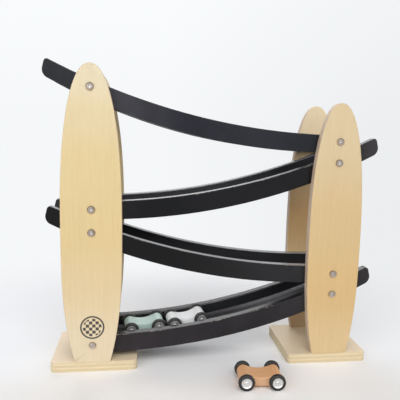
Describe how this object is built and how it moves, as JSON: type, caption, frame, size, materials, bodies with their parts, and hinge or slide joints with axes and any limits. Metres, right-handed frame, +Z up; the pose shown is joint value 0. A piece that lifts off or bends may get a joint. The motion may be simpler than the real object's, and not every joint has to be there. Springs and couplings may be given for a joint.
{
  "type": "toy race track",
  "caption": "Wooden zigzag toy race track: two towers of rounded uprights hold curved black tracks that small wooden cars roll down.",
  "frame": {"origin": "on the floor, on the left tower's centre line, midway between its two uprights", "axes": "+X along the tracks towards the right tower, +Y from front to back, +Z up"},
  "size_m": [0.3488, 0.1434, 0.3184],
  "materials": {
    "left_wood": "pale plywood, clear satin lacquer",
    "right_wood": "warmer plywood, clear satin lacquer",
    "base_wood": "thick plywood with layered edges, clear satin lacquer",
    "black_wood": "black satin paint on wood",
    "steel": "bright zinc-plated steel",
    "brass": "plain brass",
    "mint_wood": "mint green satin paint on wood",
    "white_wood": "white satin paint on wood",
    "natural_wood": "natural wood, clear satin lacquer",
    "hub": "pale grey gloss plastic",
    "tyre": "soft matt black rubber"
  },
  "bodies": {
    "stand": {"left_base_plate": "base_wood", "left_base_screws": "steel", "left_front_upright": "left_wood", "left_front_bolts": "steel", "left_front_inserts": "brass", "left_back_upright": "left_wood", "left_back_bolts": "steel", "left_back_inserts": "brass", "right_base_plate": "base_wood", "right_base_screws": "steel", "right_front_upright": "right_wood", "right_front_bolts": "steel", "right_front_inserts": "brass", "right_back_upright": "right_wood", "right_back_bolts": "steel", "right_back_inserts": "brass", "track_1_front_rail": "black_wood", "track_1_back_rail": "black_wood", "track_1_floor": "black_wood", "track_2_front_rail": "black_wood", "track_2_back_rail": "black_wood", "track_2_floor": "black_wood", "track_3_front_rail": "black_wood", "track_3_back_rail": "black_wood", "track_3_floor": "black_wood", "track_4_front_rail": "black_wood", "track_4_back_rail": "black_wood", "track_4_floor": "black_wood", "end_stop": "black_wood"},
    "mint_car": {"mint_car_body": "mint_wood"},
    "mint_car_front_wheels": {"mint_car_front_axle": "steel", "mint_car_front_hubs": "hub", "mint_car_front_tyres": "tyre"},
    "mint_car_rear_wheels": {"mint_car_rear_axle": "steel", "mint_car_rear_hubs": "hub", "mint_car_rear_tyres": "tyre"},
    "white_car": {"white_car_body": "white_wood"},
    "white_car_front_wheels": {"white_car_front_axle": "steel", "white_car_front_hubs": "hub", "white_car_front_tyres": "tyre"},
    "white_car_rear_wheels": {"white_car_rear_axle": "steel", "white_car_rear_hubs": "hub", "white_car_rear_tyres": "tyre"},
    "natural_car": {"natural_car_body": "natural_wood"},
    "natural_car_front_wheels": {"natural_car_front_axle": "steel", "natural_car_front_hubs": "hub", "natural_car_front_tyres": "tyre"},
    "natural_car_rear_wheels": {"natural_car_rear_axle": "steel", "natural_car_rear_hubs": "hub", "natural_car_rear_tyres": "tyre"}
  },
  "joints": [
    {"name": "mint_car_roll", "type": "hinge", "parent": "stand", "child": "mint_car", "pos_m": [-0.00071, 0, 0.7096], "axis": [0, -1, 0], "range_deg": [-0.5, 10]},
    {"name": "white_car_roll", "type": "hinge", "parent": "mint_car", "child": "white_car", "pos_m": [-0.00071, 0, 0.7096], "axis": [0, -1, 0], "range_deg": [0, 3.5]},
    {"name": "natural_car_roll", "type": "slide", "parent": "stand", "child": "natural_car", "axis": [0.9981, -0.061, 0], "range_m": [-0.08, 0.08]},
    {"name": "mint_car_front_spin", "type": "hinge", "parent": "mint_car", "child": "mint_car_front_wheels", "pos_m": [0.03846, -0.00134, 0.03343], "axis": [-0.0869, 0.9962, -0.007], "continuous": true},
    {"name": "mint_car_rear_spin", "type": "hinge", "parent": "mint_car", "child": "mint_car_rear_wheels", "pos_m": [0.06894, 0.00134, 0.03589], "axis": [-0.0869, 0.9962, -0.007], "continuous": true},
    {"name": "white_car_front_spin", "type": "hinge", "parent": "white_car", "child": "white_car_front_wheels", "pos_m": [0.08594, -0.00134, 0.03787], "axis": [-0.0862, 0.9962, -0.0131], "continuous": true},
    {"name": "white_car_rear_spin", "type": "hinge", "parent": "white_car", "child": "white_car_rear_wheels", "pos_m": [0.11618, 0.00134, 0.04246], "axis": [-0.0862, 0.9962, -0.0131], "continuous": true},
    {"name": "natural_car_front_spin", "type": "hinge", "parent": "natural_car", "child": "natural_car_front_wheels", "pos_m": [0.15343, -0.07936, 0.0082], "axis": [0.061, 0.9981, 0], "continuous": true},
    {"name": "natural_car_rear_spin", "type": "hinge", "parent": "natural_car", "child": "natural_car_rear_wheels", "pos_m": [0.18407, -0.08124, 0.0082], "axis": [0.061, 0.9981, 0], "continuous": true}
  ]
}
